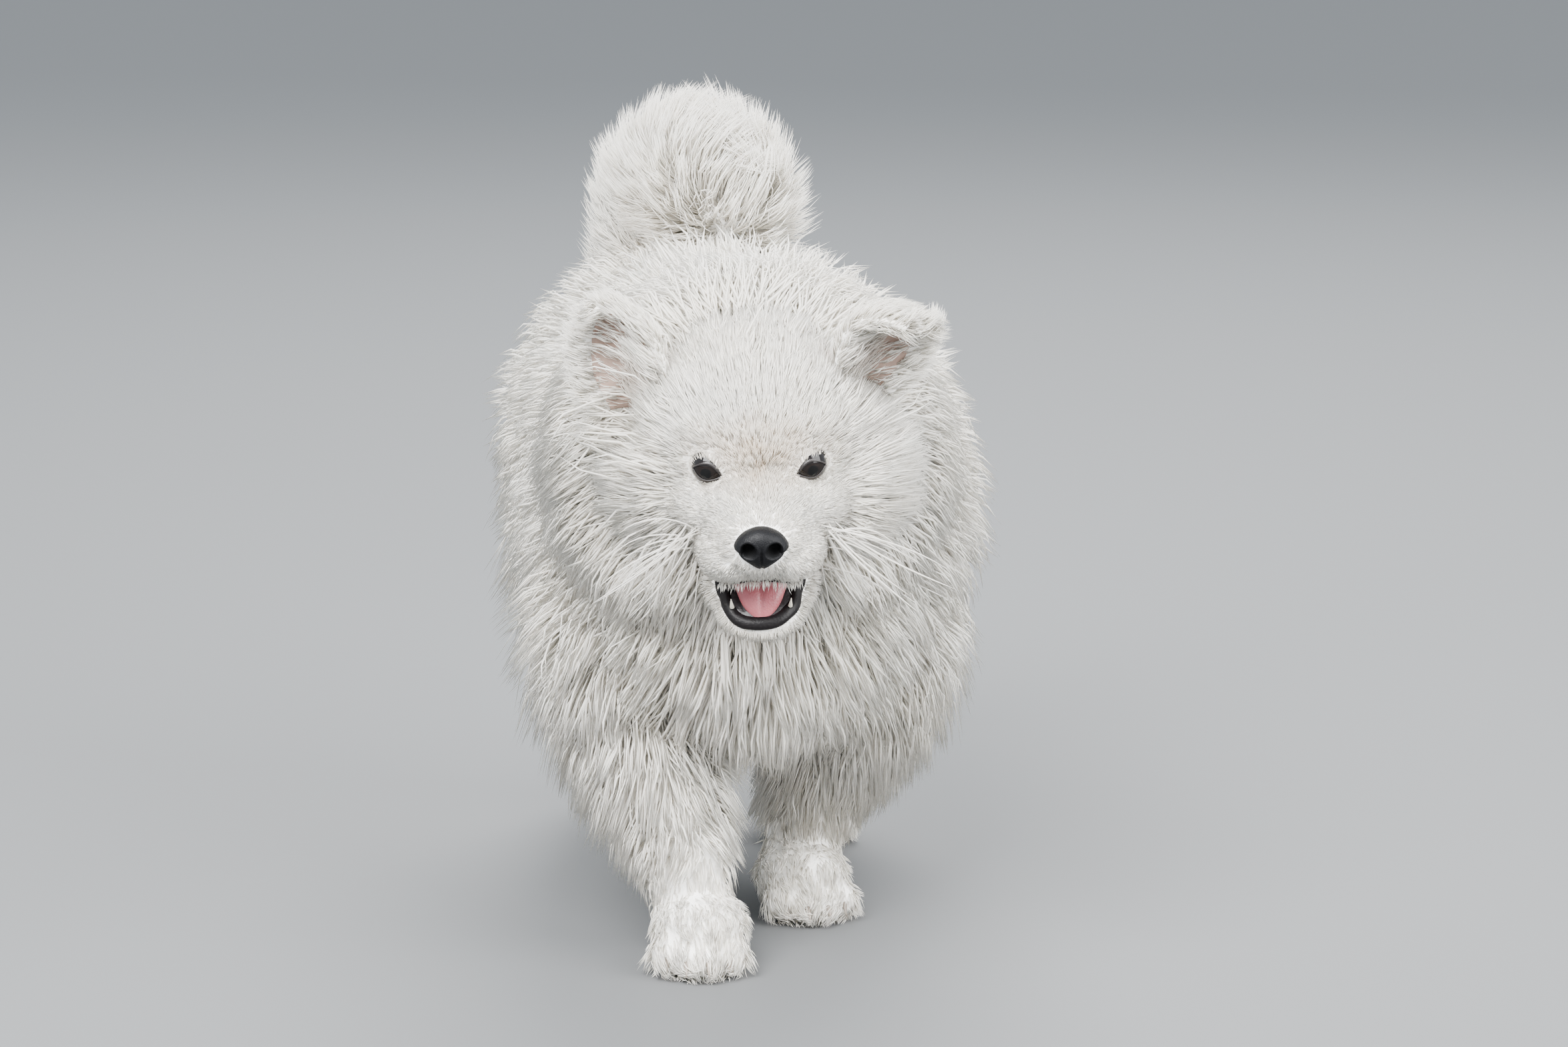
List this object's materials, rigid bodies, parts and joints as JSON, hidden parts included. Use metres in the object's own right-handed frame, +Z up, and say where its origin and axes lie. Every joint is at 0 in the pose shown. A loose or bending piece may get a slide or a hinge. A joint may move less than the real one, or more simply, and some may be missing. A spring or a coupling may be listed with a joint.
{
  "type": "samoyed puppy",
  "caption": "Long-coated white puppy in mid-step, head low and turned, mouth open with the tongue in it, one ear up and one folded, tail curled over the back.",
  "frame": {"origin": "on the floor, under the middle of the bounding box", "axes": "+Z up, -Y the way the puppy faces, +X its left side"},
  "size_m": [0.2252, 0.4572, 0.3591],
  "materials": {
    "coat": "long soft white hair",
    "eye": "wet and glossy",
    "nose": "moist leather",
    "tongue": "moist"
  },
  "bodies": {
    "root": {"torso": "coat", "neck": "coat", "head": "coat", "jaw": "coat", "ear_right": "coat", "ear_left": "coat", "tail": "coat", "foreleg_right": "coat", "foreleg_left": "coat", "hindleg_right": "coat", "hindleg_left": "coat", "eye_right": "eye", "eye_left": "eye", "nose": "nose", "tongue": "tongue"}
  },
  "joints": []
}
